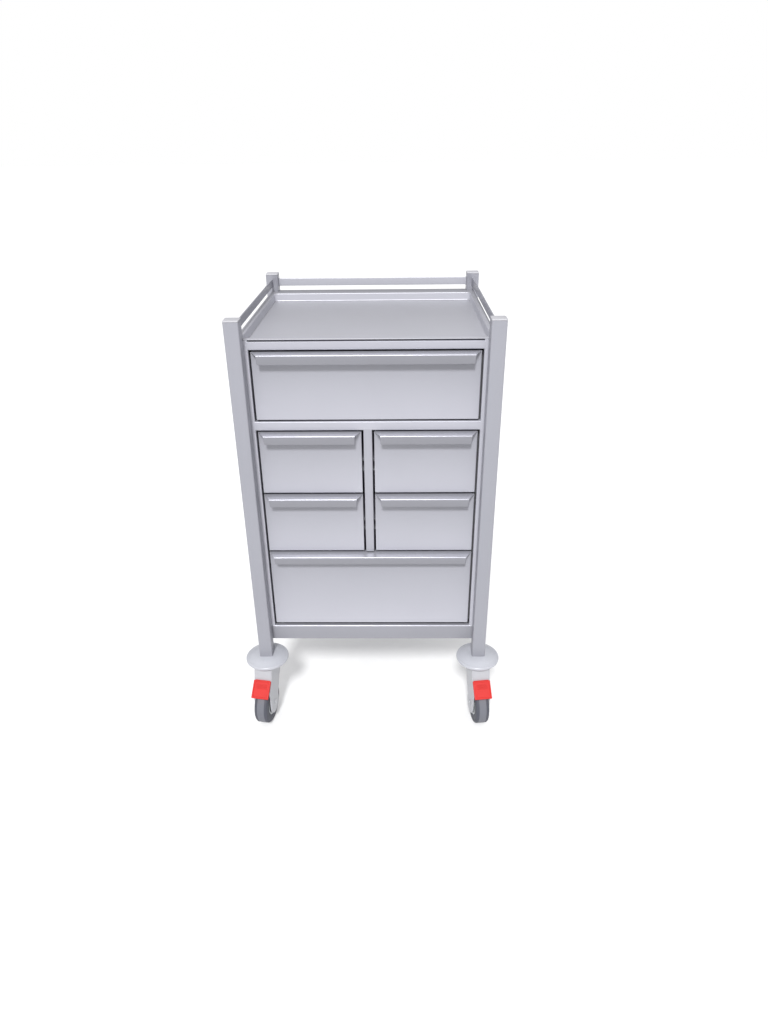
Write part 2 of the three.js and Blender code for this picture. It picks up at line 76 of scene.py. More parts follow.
# places that many pieces share
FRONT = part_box("top_rail")[0].y  # plane of the rails and the drawer fronts
BACK_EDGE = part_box("side_panel_right")[1].y  # rear edge of the side panels
INNER_POST_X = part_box("back_panel")[1].x
SLIDE_Y = [corner.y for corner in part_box("slide_liner_left")]
SLIDE_REACH = 13 * MM
SLIDE_HALF = 12 * MM  # half the opening between the lips of a channel
SLIDE_RAIL_HALF = 10 * MM
SLIDE_SHARE = 0.42  # height of the slide as a share of the drawer front's height
SLIDE_ROOT = 0.5 * MM  # how far a lip of a channel is sunk into its wall


# ---- mesh building ---------------------------------------------------------------------------
def fillet(points, radii, segments=5):
    """A closed outline with its corners turned into arcs; radii is one size or one a corner."""
    if not hasattr(radii, "__len__"):
        radii = [radii] * len(points)
    outline = []
    for i, radius in enumerate(radii):
        corner = Vector(points[i])
        before = (Vector(points[i - 1]) - corner).normalized()
        after = (Vector(points[(i + 1) % len(points)]) - corner).normalized()
        if radius == 0:
            outline.append(corner)
            continue
        half = before.angle(after) / 2
        centre = corner + (before + after).normalized() * (radius / math.sin(half))
        start = corner + before * (radius / math.tan(half)) - centre
        end = corner + after * (radius / math.tan(half)) - centre
        for k in range(segments + 1):
            outline.append(centre + start.slerp(end, k / segments).normalized() * radius)
    return outline


def rectangle(x0, x1, y0, y1, radius, segments=5):
    """A rectangle's outline with rounded corners."""
    return fillet([(x0, y0), (x1, y0), (x1, y1), (x0, y1)], radius, segments)


def arc(centre, radius, start, end, steps):
    """Points on an arc, from start to end in degrees."""
    angles = [math.radians(start + (end - start) * k / steps) for k in range(steps + 1)]
    return [(centre[0] + radius * math.cos(a), centre[1] + radius * math.sin(a)) for a in angles]


def at_height(outline, z):
    """An outline laid flat at a height."""
    return [(x, y, z) for x, y in outline]


def skin(mesh, near, far):
    """Faces between two closed rows of vertices."""
    count = len(near)
    for i in range(count):
        j = (i + 1) % count
        mesh.faces.new((near[i], near[j], far[j], far[i]))


def soften_edges(mesh, row):
    """Marks the edges round a row of vertices for the piece's bevel."""
    weight = mesh.edges.layers.float["bevel_weight_edge"]
    for i, vertex in enumerate(row):
        mesh.edges.get((row[i - 1], vertex))[weight] = 1


def loft(mesh, loops, ring=False, soft=True):
    """Skins loops of equal length in a row; the row closes on itself, or its ends are capped."""
    rows = [[mesh.verts.new(point) for point in loop] for loop in loops]
    for near, far in zip(rows, rows[1:]):
        skin(mesh, near, far)
    if ring:
        skin(mesh, rows[-1], rows[0])
        return
    for row in (rows[0], rows[-1]):
        mesh.faces.new(row)
        if soft:
            soften_edges(mesh, row)


def extrude(mesh, outline, axis, start, end, soft=True):
    """Runs an outline along an axis; the outline lies in the other two axes, in their order."""
    place = {
        "X": lambda t, a, b: (t, a, b),
        "Y": lambda t, a, b: (a, t, b),
        "Z": lambda t, a, b: (a, b, t),
    }[axis]
    loft(mesh, [[place(t, a, b) for a, b in outline] for t in (start, end)], soft=soft)


def lathe(mesh, profile, place, segments=64, ring=False):
    """Turns (radius, height) points about the z axis, and moves the result by place."""
    turns = [2 * math.pi * k / segments for k in range(segments)]
    loops = [
        [place @ Vector((radius * math.cos(a), radius * math.sin(a), height)) for a in turns]
        for radius, height in profile
    ]
    loft(mesh, loops, ring, soft=False)


def add_piece(name, build, look, nodes=(), body=None, bevel=RIM, place=None):
    """Makes one piece: its mesh, finish and bevel, the nodes it stands for and its body."""
    mesh = bmesh.new()
    mesh.edges.layers.float.new("bevel_weight_edge")
    build(mesh)
    if place is not None:
        bmesh.ops.transform(mesh, matrix=place, verts=mesh.verts)
    bmesh.ops.recalc_face_normals(mesh, faces=mesh.faces)
    data = bpy.data.meshes.new(name)
    mesh.to_mesh(data)
    mesh.free()
    data.polygons.foreach_set("use_smooth", [True] * len(data.polygons))
    data.set_sharp_from_angle(angle=HARD_EDGE)
    piece = bpy.data.objects.new(name, data)
    bpy.context.scene.collection.objects.link(piece)
    slot, material = LOOKS[look]
    data.materials.append(material)
    modifier = piece.modifiers.new("edges", "BEVEL")
    modifier.limit_method = "WEIGHT"
    modifier.width = bevel
    modifier.segments = 2
    modifier.harden_normals = True
    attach(piece, body or BODY_OF[nodes[0]])
    if nodes:
        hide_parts(*nodes)
    return piece


def refine(node, build, look, **options):
    """A finer mesh that stands for one CAD node."""
    return add_piece(f"{node}.shape", build, look, [node], **options)


def keep(node, look):
    """Keeps a CAD node's own shape, with a finish and softened edges."""
    item = frame["nodes"][node]
    slot, material = LOOKS[look]
    item.material_slots[0].material = material
    modifier = item.modifiers.new("edges", "BEVEL")
    modifier.limit_method = "ANGLE"
    modifier.angle_limit = BEVELLED_EDGE
    modifier.width = RAW
    modifier.segments = 2


# ---- materials -------------------------------------------------------------------------------
class Finish:
    """A Principled material whose colour, roughness and bump come from noise in the object; a colour ramp can add
    painted shade.
    """

    def __init__(self, name, roughness, metallic=0.0, specular=0.5):
        self.material = bpy.data.materials.new(name)
        self.material.use_nodes = True
        self.tree = self.material.node_tree
        self.shader = self.tree.nodes["Principled BSDF"]
        self.shader.inputs["Roughness"].default_value = roughness
        self.shader.inputs["Metallic"].default_value = metallic
        self.shader.inputs["Specular IOR Level"].default_value = specular
        self.coordinates = self.tree.nodes.new("ShaderNodeTexCoord")
        self.normal = None

    def link(self, output, target):
        """Joins an output to an input."""
        self.tree.links.new(output, target)

    def noise(self, scale, detail=3.0, roughness=0.5):
        """Noise with so many features a metre along x, y and z."""
        mapping = self.tree.nodes.new("ShaderNodeMapping")
        mapping.inputs["Scale"].default_value = scale
        self.link(self.coordinates.outputs["Object"], mapping.inputs["Vector"])
        noise = self.tree.nodes.new("ShaderNodeTexNoise")
        noise.inputs["Scale"].default_value = 1.0
        noise.inputs["Detail"].default_value = detail
        noise.inputs["Roughness"].default_value = roughness
        self.link(mapping.outputs["Vector"], noise.inputs["Vector"])
        return noise.outputs["Fac"]

    def colour(self, factor, low, high):
        """Spreads the base colour between two colours."""
        mix = self.tree.nodes.new("ShaderNodeMix")
        mix.data_type = "RGBA"
        ends = [socket for socket in mix.inputs if socket.type == "RGBA"]
        for socket, value in zip(ends, (low, high)):
            socket.default_value = (*value, 1.0)
        self.link(factor, mix.inputs["Factor"])
        result = next(socket for socket in mix.outputs if socket.type == "RGBA")
        self.link(result, self.shader.inputs["Base Color"])

    def roughness(self, factor, low, high):
        """Spreads the roughness between two values, where the noise runs from 0.3 to 0.7."""
        spread = self.tree.nodes.new("ShaderNodeMapRange")
        spread.inputs["From Min"].default_value = 0.3
        spread.inputs["From Max"].default_value = 0.7
        spread.inputs["To Min"].default_value = low
        spread.inputs["To Max"].default_value = high
        self.link(factor, spread.inputs["Value"])
        self.link(spread.outputs["Result"], self.shader.inputs["Roughness"])

    def fade(self, axis, amount):
        """Paints shade into the colour along an axis of the piece: for a positive amount, lighter on its low side
        and darker on its high side.
        """
        split = self.tree.nodes.new("ShaderNodeSeparateXYZ")
        self.link(self.coordinates.outputs["Generated"], split.inputs["Vector"])
        spread = self.tree.nodes.new("ShaderNodeMapRange")
        spread.inputs["To Min"].default_value = 1 + amount
        spread.inputs["To Max"].default_value = 1 - amount
        self.link(split.outputs[axis], spread.inputs["Value"])
        scale = self.tree.nodes.new("ShaderNodeVectorMath")
        scale.operation = "SCALE"
        colour = self.shader.inputs["Base Color"]
        self.link(colour.links[0].from_socket, scale.inputs["Vector"])
        self.link(spread.outputs["Result"], scale.inputs["Scale"])
        self.link(scale.outputs["Vector"], colour)

    def bump(self, factor, strength, distance):
        """Adds a relief on top of the ones made so far."""
        bump = self.tree.nodes.new("ShaderNodeBump")
        bump.inputs["Strength"].default_value = strength
        bump.inputs["Distance"].default_value = distance
        self.link(factor, bump.inputs["Height"])
        if self.normal is not None:
            self.link(self.normal, bump.inputs["Normal"])
        self.normal = bump.outputs["Normal"]
        self.link(self.normal, self.shader.inputs["Normal"])


METAL_SHARE = 0.15
GRAIN_ACROSS, GRAIN_ALONG = 2200, 26  # features a metre of the ground grain
CLOUDS = 7  # patches a metre in which the sheet's colour and flatness drift
MOTTLE = 25  # patches a metre of a moulding's colour


def shade(colour, factor):
    """A colour made darker or lighter."""
    return [channel * factor for channel in colour]


def satin_steel(name, colour, roughness, along, metal=METAL_SHARE, fade=None):
    """Finely blasted and ground steel: part mirror, part matt, with its grain along one axis."""
    finish = Finish(name, roughness, metallic=metal, specular=0.35)
    grain_scale = [GRAIN_ALONG if axis == along else GRAIN_ACROSS for axis in "XYZ"]
    grain = finish.noise(grain_scale, detail=2.0)
    clouds = finish.noise([CLOUDS] * 3, detail=4.0)
    finish.colour(clouds, shade(colour, 0.965), shade(colour, 1.035))
    # painted shade and light: an optional colour ramp along one axis stands in for how light falls on the piece
    if fade is not None:
        finish.fade(*fade)
    finish.roughness(grain, roughness - 0.035, roughness + 0.035)
    finish.bump(clouds, 0.25, 0.6 * MM)
    finish.bump(grain, 0.08, 0.02 * MM)
    return finish.material


def moulded(name, colour, roughness, specular=0.5, texture=900, depth=0.05 * MM):
    """Moulded plastic or rubber with a fine spark-eroded texture."""
    finish = Finish(name, roughness, specular=specular)
    fine = finish.noise([texture] * 3, detail=2.0)
    clouds = finish.noise([MOTTLE] * 3, detail=3.0)
    finish.colour(clouds, shade(colour, 0.95), shade(colour, 1.05))
    finish.roughness(fine, roughness - 0.04, roughness + 0.04)
    finish.bump(fine, 0.15, depth)
    return finish.material


SHEET_COLOUR = (0.455, 0.457, 0.508)
# a lighter copy of the sheet colour: painted light for surfaces that should read as catching more light
PAINTED_LIGHT_COLOUR = (0.52, 0.522, 0.57)
TUBE_COLOUR = (0.335, 0.338, 0.378)
INNER_COLOUR = (0.42, 0.425, 0.45)
SATIN = 0.33  # roughness of the ground steel

# each look is the record's material slot and the material itself
LOOKS = {
    "sheet_x": ("sheet_steel", satin_steel("satin_sheet_x", SHEET_COLOUR, SATIN, "X")),
    # drawer fronts: a darker copy of the sheet colour, painted shade, ramped lighter at the bottom and darker
    # under the grip as painted reflection and shade
    "front": ("sheet_steel", satin_steel(
        "satin_front_painted_shade", shade(SHEET_COLOUR, 0.85), SATIN, "X", fade=("Z", 0.17))),
    # grip tops and the bottom rail's fold: a lighter copy of the sheet colour, painted light; the lower roughness
    # gives them a real sheen
    "painted_light_strip": ("sheet_steel", satin_steel(
        "satin_strip", shade(SHEET_COLOUR, 0.95), 0.27, "X", metal=0.35)),
    # grip lips: a much darker copy of the sheet colour, painted shade
    "grip": ("sheet_steel", satin_steel("satin_grip_painted_shade", shade(SHEET_COLOUR, 0.56), SATIN, "X")),
    # bottom rail: a darker copy of the sheet colour, painted shade
    "painted_shade_rail": ("sheet_steel", satin_steel("satin_rail_painted_shade", shade(SHEET_COLOUR, 0.62), SATIN, "X")),
    # tray floor: a darker copy, ramped lighter at the front and darker at the back as painted reflection and
    # shade; its walls take a lighter copy, painted light
    "tray": ("sheet_steel", satin_steel(
        "satin_tray_painted_shade", shade(PAINTED_LIGHT_COLOUR, 0.79), SATIN, "X", fade=("Y", 0.3))),
    "painted_light_tray_wall": ("sheet_steel", satin_steel("satin_wall_painted_light", shade(PAINTED_LIGHT_COLOUR, 1.1), SATIN, "X")),
    # centre partition: a darker copy of the sheet colour, painted shade
    "painted_shade_divider": ("sheet_steel", satin_steel("satin_divider", shade(SHEET_COLOUR, 0.82), SATIN, "Z")),
    "sheet_z": ("sheet_steel", satin_steel("satin_sheet_z", SHEET_COLOUR, SATIN, "Z")),
    # rear guard rail: the lighter copy of the steel colour, painted light
    "painted_light_tube_x": ("frame_steel", satin_steel("satin_tube_x", PAINTED_LIGHT_COLOUR, SATIN, "X")),
    "tube_y": ("frame_steel", satin_steel("satin_tube_y", TUBE_COLOUR, SATIN, "Y")),
    # posts: darker at the bottom and lighter at the top, a ramp of painted shade
    "painted_shade_tube_z": ("frame_steel", satin_steel(
        "satin_tube_z", shade(TUBE_COLOUR, 0.96), SATIN, "Z", fade=("Z", -0.06))),
    # slide liners: a much darker copy of the inner steel colour, painted shade that darkens the gaps round the
    # drawers
    "liner": ("inner_steel", satin_steel("satin_liner_painted_shade", shade(INNER_COLOUR, 0.3), 0.45, "Z")),
    "inner": ("inner_steel", satin_steel("satin_inner", INNER_COLOUR, 0.42, "Y")),
    "zinc": ("zinc_steel", satin_steel("zinc_plate", (0.50, 0.51, 0.53), 0.33, "Z")),
    "cap": ("cap_plastic", moulded("cap_plastic", (0.50, 0.50, 0.53), 0.42)),
    "disc": ("bumper_plastic", moulded("disc_plastic", (0.45, 0.46, 0.50), 0.3, 0.5, 500, 0.01 * MM)),
    "caster": ("caster_plastic", moulded("caster_plastic", (0.44, 0.445, 0.475), 0.36)),
    "hub": ("hub_plastic", moulded("hub_plastic", (0.50, 0.525, 0.535), 0.38)),
    "pedal": ("pedal_plastic", moulded("pedal_plastic", (0.56, 0.030, 0.026), 0.5, 0.2)),
    "tyre": ("tyre_rubber", moulded("tyre_rubber", (0.072, 0.076, 0.095), 0.6, 0.4, 600)),
    # the tyre's running band: a lighter copy of the rubber colour, painted sheen
    "painted_sheen_tread": ("tyre_rubber", moulded("tread_rubber", (0.15, 0.155, 0.18), 0.55, 0.4, 500)),
}


# ---- frame: posts, caps, bumper discs, guard rails -------------------------------------------
POST_ROUND = 3 * MM


def post(mesh, corner):
    """A square tube, open at both ends."""
    lo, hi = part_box(f"post_{corner}")
    outer = rectangle(lo.x, hi.x, lo.y, hi.y, POST_ROUND, 7)
    bore = (lo.x + SHEET, hi.x - SHEET, lo.y + SHEET, hi.y - SHEET)
    inner = rectangle(*bore, POST_ROUND / 2, 7)
    loops = [at_height(outer, lo.z), at_height(outer, hi.z)]
    loops += [at_height(inner, hi.z), at_height(inner, lo.z)]
    loft(mesh, loops, ring=True)


def post_cap(mesh, corner):
    """A lid with a rounded upper edge, on a plug that sits in the tube."""
    lo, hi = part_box(f"post_cap_{corner}")
    under = hi.z - 3 * MM  # where the lid meets the tube
    rounding = 1.3 * MM
    chamfer = 0.35 * MM

    def ring(inset, z):
        radius = max(POST_ROUND - inset, 1 * MM)
        edges = (lo.x + inset, hi.x - inset, lo.y + inset, hi.y - inset)
        return at_height(rectangle(*edges, radius, 7), z)

    loops = [ring(chamfer, under), ring(0, under + chamfer)]
    for x, z in arc((rounding, hi.z - rounding), rounding, 180, 90, 5):
        loops.append(ring(x, z))
    loft(mesh, loops, soft=False)
    wall = SHEET + FIT
    plug = (lo.x + wall, hi.x - wall, lo.y + wall, hi.y - wall)
    extrude(mesh, rectangle(*plug, POST_ROUND / 2), "Z", lo.z, under)


def bumper_disc(mesh, corner):
    """A dished disc with a level middle and a rim that curls under."""
    lo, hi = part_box(f"bumper_disc_{corner}")
    centre = (lo + hi) / 2
    radius = (hi.x - lo.x) / 2
    height = hi.z - lo.z
    bore = 6.3 * MM
    flat = 21 * MM  # the level middle that the post stands on
    edge = 4.6 * MM  # rounding of the rim
    fall = height / 2  # from the middle to the shoulder
    shoulder = radius - edge
    profile = [(bore, 0), (bore, height), (flat, height)]
    steps = 10
    for k in range(1, steps + 1):
        t = k / steps
        profile.append((flat + (shoulder - flat) * t, height - fall * t * t))
    profile += arc((shoulder, height - fall - edge), edge, 78, -40, 9)
    profile += [(shoulder - 1 * MM, 0)]
    lathe(mesh, profile, Matrix.Translation((centre.x, centre.y, lo.z)), 96, ring=True)


def guard_rail(mesh, side):
    """A flat bar with rounded edges, and a weld fillet where it meets each post."""
    lo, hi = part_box(f"guard_rail_{side}")
    along, across = ("X", "y") if side == "rear" else ("Y", "x")
    start, end = (lo.x, hi.x) if side == "rear" else (lo.y, hi.y)
    a0, a1 = getattr(lo, across), getattr(hi, across)
    extrude(mesh, rectangle(a0, a1, lo.z, hi.z, 1.2 * MM), along, start, end)
    weld, throw = 1.4 * MM, 3.2 * MM  # height of the weld on the post, and its length on the bar
    hollow = ((weld, 0), (weld * 0.45, throw * 0.35), (0.02 * MM, throw))
    for post_face, inward in ((start, 1), (end, -1)):
        loops = []
        for grown, reach in hollow:
            outline = rectangle(a0 - grown, a1 + grown, lo.z - grown, hi.z + grown, 1.3 * MM)
            t = post_face + inward * reach
            loops.append([(t, a, z) if along == "X" else (a, t, z) for a, z in outline])
        loft(mesh, loops, soft=False)


for corner in CORNERS:
    refine(f"post_{corner}", lambda mesh: post(mesh, corner), "painted_shade_tube_z")
    refine(f"post_cap_{corner}", lambda mesh: post_cap(mesh, corner), "cap")
    refine(f"bumper_disc_{corner}", lambda mesh: bumper_disc(mesh, corner), "disc")
    keep(f"caster_stem_{corner}", "zinc")
for side in ("left", "right", "rear"):
    look = "painted_light_tube_x" if side == "rear" else "tube_y"
    refine(f"guard_rail_{side}", lambda mesh: guard_rail(mesh, side), look)


# ---- top tray --------------------------------------------------------------------------------
TRAY_SIDE_RIM = 11.5 * MM
TRAY_FRONT_RIM = 14 * MM
TRAY_BACK_RIM = 46 * MM
TRAY_SINK = 19 * MM
TRAY_CORNER = 8 * MM
TRAY_WALL_PAINTED_LIGHT_SLOT = 1  # material slot of the tray's walls, after the floor's; the walls take a lighter copy of the steel colour, painted light


def top_tray(mesh):
    """A pressed pan: a flat rim, a rounded edge, the walls, and a floor with rounded corners."""
    lo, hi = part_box("top_tray")
    floor = hi.z - TRAY_SINK
    cove = 3 * MM  # where the walls meet the floor

    def ring(inset, z):
        edges = (lo.x + TRAY_SIDE_RIM + inset, hi.x - TRAY_SIDE_RIM - inset,
                 lo.y + TRAY_FRONT_RIM + inset, hi.y - TRAY_BACK_RIM - inset)
        return at_height(rectangle(*edges, TRAY_CORNER - inset, 8), z)

    inside = [ring(x, z) for x, z in arc((-BEND, hi.z - BEND), BEND, 90, 0, 5)]
    inside += [ring(x, z) for x, z in arc((cove, floor + cove), cove, 180, 270, 6)]
    under = [ring(x, z) for x, z in arc((cove, floor + cove), cove + SHEET, 270, 180, 6)]
    under += [ring(x, z) for x, z in arc((-BEND, hi.z - BEND), BEND - SHEET, 0, 90, 3)]
    top_rows = [[mesh.verts.new(point) for point in loop] for loop in inside]
    under_rows = [[mesh.verts.new(point) for point in loop] for loop in under]
    for rows in (top_rows, under_rows):
        for near, far in zip(rows, rows[1:]):
            skin(mesh, near, far)
    # the walls take the painted-light copy of the steel colour
    for face in mesh.faces:
        face.normal_update()
        if abs(face.normal.z) < 0.6:
            face.material_index = TRAY_WALL_PAINTED_LIGHT_SLOT
    mesh.faces.new(top_rows[-1])
    mesh.faces.new(under_rows[0])

    rim = fillet([
        (lo.x, lo.y), (hi.x, lo.y), (hi.x, BACK_EDGE), (INNER_POST_X, BACK_EDGE),
        (INNER_POST_X, hi.y), (-INNER_POST_X, hi.y), (-INNER_POST_X, BACK_EDGE),
        (lo.x, BACK_EDGE),
    ], 0.8 * MM, 3)
    edge_rows = [[mesh.verts.new(p) for p in at_height(rim, z)] for z in (hi.z, hi.z - SHEET)]
    skin(mesh, *edge_rows)
    for well, edge in ((top_rows[0], edge_rows[0]), (under_rows[-1], edge_rows[1])):
        soften_edges(mesh, edge)
        border = [mesh.edges.get((row[i - 1], row[i])) for row in (well, edge)
                  for i in range(len(row))]
        bmesh.ops.triangle_fill(mesh, edges=border, use_beauty=True)


tray = refine("top_tray", top_tray, "tray")
tray.data.materials.append(LOOKS["painted_light_tray_wall"][1])


# ---- cabinet shell and rails -----------------------------------------------------------------
def side_panel(mesh, side):
    """A folded panel: a stile with its return lip, cut off above the bottom rail, the wall from
    its bend to its rear corner, and a rear flange."""
    name = "right" if side > 0 else "left"
    lo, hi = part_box(f"side_panel_{name}")
    skin_x = max(abs(lo.x), abs(hi.x))
    stile_x = min(abs(lo.x), abs(hi.x))
    lip = 12 * MM
    flange_x = INNER_POST_X + SHEET + FIT
    above_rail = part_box("bottom_rail")[1].z + FIT
    segments = 5
    wall = [(skin_x, lo.y), (skin_x, hi.y), (flange_x, hi.y), (flange_x, hi.y - SHEET),
            (skin_x - SHEET, hi.y - SHEET), (skin_x - SHEET, lo.y + SHEET)]
    stile = [(stile_x + SHEET, lo.y + SHEET), (stile_x + SHEET, lo.y + lip),
             (stile_x, lo.y + lip), (stile_x, lo.y)]
    radii = [BEND, BEND, RAW, RAW, CREASE, CREASE, CREASE, RAW, RAW, BEND]
    outline = [(side * x, y) for x, y in fillet(wall + stile, radii, segments)]
    wall_count = len(wall) * (segments + 1)
    top, notch, foot = (
        [mesh.verts.new(point) for point in at_height(row, z)]
        for row, z in ((outline, hi.z), (outline, above_rail), (outline[:wall_count], lo.z))
    )
    skin(mesh, top, notch)
    skin(mesh, notch[:wall_count], foot)
    for row in (top, foot, notch[wall_count - 1:] + notch[:1]):
        mesh.faces.new(row)


def back_panel(mesh):
    """A panel with a flange folded forward along each side."""
    lo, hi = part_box("back_panel")
    outline = [
        (lo.x, lo.y), (lo.x + SHEET, lo.y), (lo.x + SHEET, hi.y - SHEET),
        (hi.x - SHEET, hi.y - SHEET), (hi.x - SHEET, lo.y), (hi.x, lo.y),
        (hi.x, hi.y), (lo.x, hi.y),
    ]
    radii = [RAW, RAW, CREASE, CREASE, RAW, RAW, BEND, BEND]
    extrude(mesh, fillet(outline, radii), "Z", lo.z, hi.z)


GROOVE = 1.2 * MM  # the dark line between the rim of the tray and the top rail
RAIL_FOLD_PAINTED_LIGHT_SLOT = 1  # material slot of the bottom rail's upper fold, which takes the lighter strip colour as a painted highlight


def front_rail(mesh, node):
    """A channel folded from sheet, open to the back, and welded flush to the stiles."""
    lo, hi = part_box(node)
    upper_bend = BEND
    if node == "top_rail":
        hi.z -= GROOVE
        upper_bend = CREASE
    stile, panel = (corner.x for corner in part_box("side_panel_right"))
    reach = min(max(hi.x, stile + BEND), panel - BEND)
    outline = [
        (hi.y, lo.z), (lo.y, lo.z), (lo.y, hi.z), (hi.y, hi.z), (hi.y, hi.z - SHEET),
        (lo.y + SHEET, hi.z - SHEET), (lo.y + SHEET, lo.z + SHEET), (hi.y, lo.z + SHEET),
    ]
    radii = [RAW, BEND, upper_bend, RAW, RAW, RAW, CREASE, RAW]
    extrude(mesh, fillet(outline, radii), "X", -reach, reach, soft=False)
    # the upper fold takes the lighter strip colour, a painted highlight over the rail's painted shade
    if node == "bottom_rail":
        for face in mesh.faces:
            if face.calc_center_median().z > hi.z - BEND:
                face.material_index = RAIL_FOLD_PAINTED_LIGHT_SLOT


def slide_channel(mesh, wall_x, towards, z):
    """Two rolled lips that stand out of a wall and hold a drawer's rail between them."""
    x0, x1 = sorted((wall_x, wall_x + towards * SLIDE_REACH))
    for z0 in (z + SLIDE_HALF, z - SLIDE_HALF - SHEET):
        outline = rectangle(x0, x1, z0, z0 + SHEET, SHEET * 0.45, 4)
        extrude(mesh, outline, "Y", *SLIDE_Y)


def slide_height(drawer):
    """The middle height of a drawer's slides."""
    lo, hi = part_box(f"drawer_front_{drawer}")
    return lo.z + (hi.z - lo.z) * SLIDE_SHARE


def slide_liner(mesh, side):
    """An upright pan along the side panel, with a slide channel for each row of drawers."""
    lo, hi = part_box("slide_liner_left" if side < 0 else "slide_liner_right")
    outer_x = max(abs(lo.x), abs(hi.x))
    pan_x = min(abs(lo.x), abs(hi.x)) + SLIDE_REACH - SLIDE_ROOT
    outline = fillet([
        (pan_x, lo.y), (outer_x, lo.y), (outer_x, lo.y + SHEET), (pan_x + SHEET, lo.y + SHEET),
        (pan_x + SHEET, hi.y - SHEET), (outer_x, hi.y - SHEET), (outer_x, hi.y), (pan_x, hi.y),
    ], [BEND, RAW, RAW, CREASE, CREASE, RAW, RAW, BEND])
    extrude(mesh, [(side * x, y) for x, y in outline], "Z", lo.z, hi.z)
    rows = ("top", "upper_left", "lower_left", "bottom")
    for z in map(slide_height, rows):
        slide_channel(mesh, side * (pan_x + SLIDE_ROOT), -side, z)


def centre_partition(mesh):
    """A deep channel between the small drawers, open to the back, with slide channels."""
    lo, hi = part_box("centre_partition")
    half = hi.x - SLIDE_REACH + SLIDE_ROOT
    outline = fillet([
        (-half, lo.y), (half, lo.y), (half, hi.y), (half - SHEET, hi.y),
        (half - SHEET, lo.y + SHEET), (-half + SHEET, lo.y + SHEET),
        (-half + SHEET, hi.y), (-half, hi.y),
    ], [BEND, BEND, RAW, RAW, CREASE, CREASE, RAW, RAW])
    rail_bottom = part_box("middle_rail")[0].z
    extrude(mesh, outline, "Z", lo.z, rail_bottom + BEND, soft=False)
    for z in map(slide_height, ("upper_left", "lower_left")):
        for side in (-1, 1):
            slide_channel(mesh, side * (half - SLIDE_ROOT), side, z)


refine("side_panel_left", lambda mesh: side_panel(mesh, -1), "sheet_z")
refine("side_panel_right", lambda mesh: side_panel(mesh, 1), "sheet_z")
refine("back_panel", back_panel, "sheet_z")
refine("top_rail", lambda mesh: front_rail(mesh, "top_rail"), "sheet_x")
refine("middle_rail", lambda mesh: front_rail(mesh, "middle_rail"), "sheet_x")
bottom_rail = refine("bottom_rail", lambda mesh: front_rail(mesh, "bottom_rail"), "painted_shade_rail")
bottom_rail.data.materials.append(LOOKS["painted_light_strip"][1])
refine("centre_partition", centre_partition, "painted_shade_divider")
refine("slide_liner_left", lambda mesh: slide_liner(mesh, -1), "liner")
refine("slide_liner_right", lambda mesh: slide_liner(mesh, 1), "liner")
keep("bottom_panel", "inner")


def button_screw(mesh, at, outward):
    """A socket button head, 8 mm across, with its axis along outward."""
    head, height, socket, depth = 4 * MM, 2.2 * MM, 1.4 * MM, 1.2 * MM
    turn = Vector((0, 0, 1)).rotation_difference(outward).to_matrix().to_4x4()
    place = Matrix.Translation(at) @ turn
    profile = [(head, -FIT), (head, FIT), (head * 0.92, height * 0.5)]
    profile += [(head * 0.7, height * 0.88), (head * 0.42, height), (socket, height)]
    profile += [(socket, height - depth)]
    lathe(mesh, profile, place, 24)


SCREW_ROWS = 5


def back_screws(mesh):
    """Two columns of screws near the panel's sides."""
    lo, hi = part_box("back_panel")
    margin_x, margin_z = 14 * MM, 40 * MM
    for x in (lo.x + margin_x, hi.x - margin_x):
        for k in range(SCREW_ROWS):
            z = lo.z + margin_z + (hi.z - lo.z - 2 * margin_z) * k / (SCREW_ROWS - 1)
            button_screw(mesh, (x, hi.y, z), Vector((0, 1, 0)))


add_piece("back_panel_screws", back_screws, "zinc", body="frame")


# ---- drawers ---------------------------------------------------------------------------------
GRIP_REACH = 20 * MM  # from the face of the pan to the lip
GRIP_DROP = 0.8 * MM  # how much lower the top of the lip is than the grip's fold
GRIP_LIP = 19.5 * MM  # height of the lip
GRIP_LEAN = 3 * MM  # how far the lip leans in at its lower edge
GRIP_ROOT = 1.5 * MM  # how far in the grip's ends start
GRIP_TIP = 13 * MM  # and how far in they are at the lip
GRIP_SHEAR = 0.15  # how much further in they are for each unit down the lip
GRIP_LIP_PAINTED_SHADE_SLOT, GRIP_TOP_PAINTED_LIGHT_SLOT = 1, 2  # material slots of a drawer front, after the sheet's own: the lip's painted shade and the top's painted light
FRONT_BEND = 1.6 * MM
FRONT_CORNER = 1.2 * MM
BOX_CORNER = 2.5 * MM
HEM = 9 * MM  # depth of the doubled rim of a drawer box


